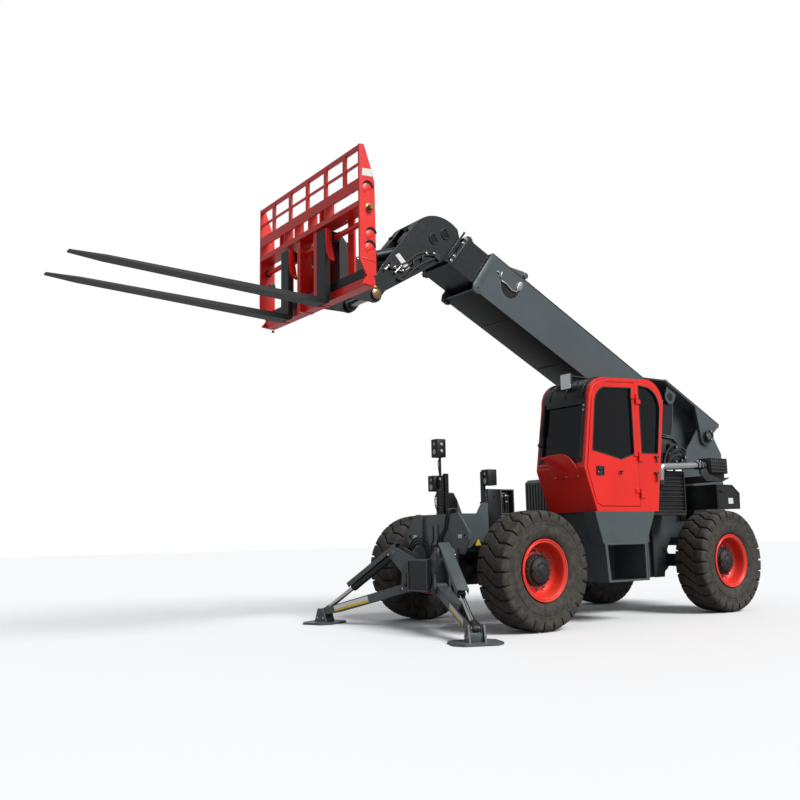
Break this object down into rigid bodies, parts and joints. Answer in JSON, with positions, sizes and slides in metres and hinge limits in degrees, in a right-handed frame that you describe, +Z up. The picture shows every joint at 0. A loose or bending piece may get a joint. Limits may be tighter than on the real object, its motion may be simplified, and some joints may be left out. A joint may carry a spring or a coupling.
{
  "type": "telehandler",
  "caption": "Telescopic handler with a three-stage boom, levelled pallet-fork carriage, side cab, four steered wheels and folding front outriggers.",
  "frame": {"origin": "on the ground, under the middle of the bounding box as the machine stands", "axes": "+X forward along the machine towards the fork tips, +Y to its left, the cab side, +Z up"},
  "size_m": [9.525, 3.5036, 5.175],
  "materials": {
    "frame_paint": "satin",
    "boom_dark_paint": "satin",
    "red_paint": "gloss",
    "black_paint": "satin",
    "wheel_red": "satin",
    "tyre_rubber": "dusty",
    "tinted_glass": "smooth tinted",
    "chrome_rod": "polished",
    "machined_steel": "brushed",
    "cast_iron": "rough",
    "engine_grey": "rough",
    "black_plastic": "matte",
    "seat_vinyl": "soft grain",
    "hose_rubber": "matte",
    "aluminium_pipe": "brushed"
  },
  "bodies": {
    "chassis": {"chassis_frame": "frame_paint", "front_axle": "cast_iron", "rear_axle": "cast_iron", "outrigger_bracket": "frame_paint", "cab_shell": "red_paint", "cab_glass": "tinted_glass", "operator_seat": "seat_vinyl", "control_console": "black_plastic", "cab_mirror": "black_paint", "cab_steps": "frame_paint", "engine_hood": "frame_paint", "engine_block": "engine_grey", "pod_mounts": "frame_paint", "fuel_tank": "frame_paint", "cooler_box": "black_plastic", "air_cleaner": "black_plastic", "intake_pipe": "aluminium_pipe", "tail_box": "black_paint", "light_masts": "black_paint", "frame_hoses": "hose_rubber"},
    "front_left_steer": {"front_left_knuckle": "cast_iron"},
    "front_left_wheel": {"front_left_tyre": "tyre_rubber", "front_left_rim": "wheel_red"},
    "front_right_steer": {"front_right_knuckle": "cast_iron"},
    "front_right_wheel": {"front_right_tyre": "tyre_rubber", "front_right_rim": "wheel_red"},
    "rear_left_steer": {"rear_left_knuckle": "cast_iron"},
    "rear_left_wheel": {"rear_left_tyre": "tyre_rubber", "rear_left_rim": "wheel_red"},
    "rear_right_steer": {"rear_right_knuckle": "cast_iron"},
    "rear_right_wheel": {"rear_right_tyre": "tyre_rubber", "rear_right_rim": "wheel_red"},
    "boom_base": {"boom_outer": "frame_paint"},
    "boom_middle": {"boom_mid": "boom_dark_paint"},
    "boom_head": {"boom_inner": "boom_dark_paint", "head_hoses": "hose_rubber"},
    "levelling_pin": {"head_pin": "machined_steel"},
    "carriage": {"coupler": "black_paint", "carriage_frame": "red_paint"},
    "left_fork": {"fork_left": "black_paint"},
    "right_fork": {"fork_right": "black_paint"},
    "lift_barrel_pair": {"lift_barrels": "boom_dark_paint"},
    "lift_rod_pair": {"lift_rods": "chrome_rod"},
    "tilt_cylinder": {"tilt_barrel": "boom_dark_paint"},
    "tilt_piston": {"tilt_rod": "chrome_rod"},
    "left_outrigger_leg": {"outrigger_leg_left": "frame_paint"},
    "left_outrigger_foot": {"outrigger_foot_left": "frame_paint"},
    "left_outrigger_cylinder": {"outrigger_barrel_left": "boom_dark_paint"},
    "left_outrigger_piston": {"outrigger_rod_left": "chrome_rod"},
    "right_outrigger_leg": {"outrigger_leg_right": "frame_paint"},
    "right_outrigger_foot": {"outrigger_foot_right": "frame_paint"},
    "right_outrigger_cylinder": {"outrigger_barrel_right": "boom_dark_paint"},
    "right_outrigger_piston": {"outrigger_rod_right": "chrome_rod"},
    "door": {"cab_door": "red_paint", "door_glass": "tinted_glass"}
  },
  "joints": [
    {"name": "front_left_steering", "type": "hinge", "parent": "chassis", "child": "front_left_steer", "pos_m": [-0.2825, 0.87, 0.674], "axis": [0, 0, 1], "range_deg": [-30, 30]},
    {"name": "front_left_wheel_spin", "type": "hinge", "parent": "front_left_steer", "child": "front_left_wheel", "pos_m": [-0.2825, 1.0725, 0.674], "axis": [0, 1, 0], "continuous": true},
    {"name": "front_right_steering", "type": "hinge", "parent": "chassis", "child": "front_right_steer", "pos_m": [-0.2825, -0.87, 0.674], "axis": [0, 0, 1], "range_deg": [-30, 30]},
    {"name": "front_right_wheel_spin", "type": "hinge", "parent": "front_right_steer", "child": "front_right_wheel", "pos_m": [-0.2825, -1.0725, 0.674], "axis": [0, 1, 0], "continuous": true},
    {"name": "rear_left_steering", "type": "hinge", "parent": "chassis", "child": "rear_left_steer", "pos_m": [-3.7325, 0.87, 0.674], "axis": [0, 0, -1], "range_deg": [-30, 30]},
    {"name": "rear_left_wheel_spin", "type": "hinge", "parent": "rear_left_steer", "child": "rear_left_wheel", "pos_m": [-3.7325, 1.0725, 0.674], "axis": [0, 1, 0], "continuous": true},
    {"name": "rear_right_steering", "type": "hinge", "parent": "chassis", "child": "rear_right_steer", "pos_m": [-3.7325, -0.87, 0.674], "axis": [0, 0, -1], "range_deg": [-30, 30]},
    {"name": "rear_right_wheel_spin", "type": "hinge", "parent": "rear_right_steer", "child": "rear_right_wheel", "pos_m": [-3.7325, -1.0725, 0.674], "axis": [0, 1, 0], "continuous": true},
    {"name": "boom_lift", "type": "hinge", "parent": "chassis", "child": "boom_base", "pos_m": [-4.3875, 0, 2.456], "axis": [0, -1, 0], "range_deg": [-34, 42]},
    {"name": "boom_extend", "type": "slide", "parent": "boom_base", "child": "boom_middle", "axis": [0.8983, 0, 0.4393], "range_m": [0, 2.9]},
    {"name": "boom_head_extend", "type": "slide", "parent": "boom_middle", "child": "boom_head", "axis": [0.8983, 0, 0.4393], "range_m": [0, 2.9]},
    {"name": "fork_levelling", "type": "hinge", "parent": "boom_head", "child": "levelling_pin", "pos_m": [1.2925, 0, 3.85], "axis": [0, -1, 0], "range_deg": [-42, 34]},
    {"name": "fork_tilt", "type": "hinge", "parent": "levelling_pin", "child": "carriage", "pos_m": [1.2925, 0, 3.85], "axis": [0, 1, 0], "range_deg": [-12, 12]},
    {"name": "left_fork_shift", "type": "slide", "parent": "carriage", "child": "left_fork", "axis": [0, 1, 0], "range_m": [-0.095, 0.607]},
    {"name": "right_fork_shift", "type": "slide", "parent": "carriage", "child": "right_fork", "axis": [0, -1, 0], "range_m": [-0.095, 0.607]},
    {"name": "lift_cylinder_swing", "type": "hinge", "parent": "boom_base", "child": "lift_barrel_pair", "pos_m": [-3.63681, 0, 2.99009], "axis": [0, -1, 0], "range_deg": [-35.24, 28.62]},
    {"name": "lift_cylinder_stroke", "type": "slide", "parent": "lift_barrel_pair", "child": "lift_rod_pair", "axis": [0.1521, 0, -0.9884], "range_m": [-0.46754, 0.57637]},
    {"name": "tilt_cylinder_swing", "type": "hinge", "parent": "boom_head", "child": "tilt_cylinder", "pos_m": [0.3875, 0, 4.65], "axis": [0, -1, 0], "range_deg": [-4.97, 4.12]},
    {"name": "tilt_cylinder_stroke", "type": "slide", "parent": "tilt_cylinder", "child": "tilt_piston", "axis": [0.9491, 0, -0.315], "range_m": [-0.2698, 0.33211]},
    {"name": "left_outrigger", "type": "hinge", "parent": "chassis", "child": "left_outrigger_leg", "pos_m": [0.4425, 0.3, 0.48], "axis": [-0.9205, 0.3907, 0], "range_deg": [-60, 0]},
    {"name": "left_foot_levelling", "type": "hinge", "parent": "left_outrigger_leg", "child": "left_outrigger_foot", "pos_m": [0.94654, 1.48745, 0.15], "axis": [-0.9205, 0.3907, 0], "range_deg": [0, 25.7]},
    {"name": "left_outrigger_cylinder_swing", "type": "hinge", "parent": "chassis", "child": "left_outrigger_cylinder", "pos_m": [0.51908, 0.48042, 0.88], "axis": [-0.9205, 0.3907, 0], "range_deg": [-71.14, 0.5]},
    {"name": "left_outrigger_stroke", "type": "slide", "parent": "left_outrigger_cylinder", "child": "left_outrigger_piston", "axis": [0.325, 0.7657, -0.5551], "range_m": [-0.40106, 0.005]},
    {"name": "right_outrigger", "type": "hinge", "parent": "chassis", "child": "right_outrigger_leg", "pos_m": [0.4425, -0.3, 0.48], "axis": [0.9205, 0.3907, 0], "range_deg": [-60, 0]},
    {"name": "right_foot_levelling", "type": "hinge", "parent": "right_outrigger_leg", "child": "right_outrigger_foot", "pos_m": [0.94654, -1.48745, 0.15], "axis": [0.9205, 0.3907, 0], "range_deg": [0, 25.7]},
    {"name": "right_outrigger_cylinder_swing", "type": "hinge", "parent": "chassis", "child": "right_outrigger_cylinder", "pos_m": [0.51908, -0.48042, 0.88], "axis": [0.9205, 0.3907, 0], "range_deg": [-71.14, 0.5]},
    {"name": "right_outrigger_stroke", "type": "slide", "parent": "right_outrigger_cylinder", "child": "right_outrigger_piston", "axis": [0.325, -0.7657, -0.5551], "range_m": [-0.40106, 0.005]},
    {"name": "cab_door_swing", "type": "hinge", "parent": "chassis", "child": "door", "pos_m": [-2.1165, 1.162, 1.4], "axis": [0, 0, 1], "range_deg": [0, 100]}
  ],
  "couplings": [
    {"joint": "front_right_steering", "follows": "front_left_steering", "ratio": 1},
    {"joint": "rear_right_steering", "follows": "rear_left_steering", "ratio": 1},
    {"joint": "boom_head_extend", "follows": "boom_extend", "ratio": 1},
    {"joint": "fork_levelling", "follows": "boom_lift", "ratio": -1},
    {"joint": "lift_cylinder_swing", "follows": "boom_lift", "ratio": -0.82718},
    {"joint": "lift_cylinder_stroke", "follows": "boom_lift", "m_per_rad": 0.77945},
    {"joint": "tilt_cylinder_swing", "follows": "boom_lift", "ratio": -0.10648},
    {"joint": "tilt_cylinder_stroke", "follows": "boom_lift", "m_per_rad": 0.44624},
    {"joint": "left_foot_levelling", "follows": "left_outrigger", "ratio": -0.42},
    {"joint": "left_outrigger_cylinder_swing", "follows": "left_outrigger", "ratio": 1.1773},
    {"joint": "left_outrigger_stroke", "follows": "left_outrigger", "m_per_rad": 0.37821},
    {"joint": "right_foot_levelling", "follows": "right_outrigger", "ratio": -0.42},
    {"joint": "right_outrigger_cylinder_swing", "follows": "right_outrigger", "ratio": 1.1773},
    {"joint": "right_outrigger_stroke", "follows": "right_outrigger", "m_per_rad": 0.37821}
  ]
}
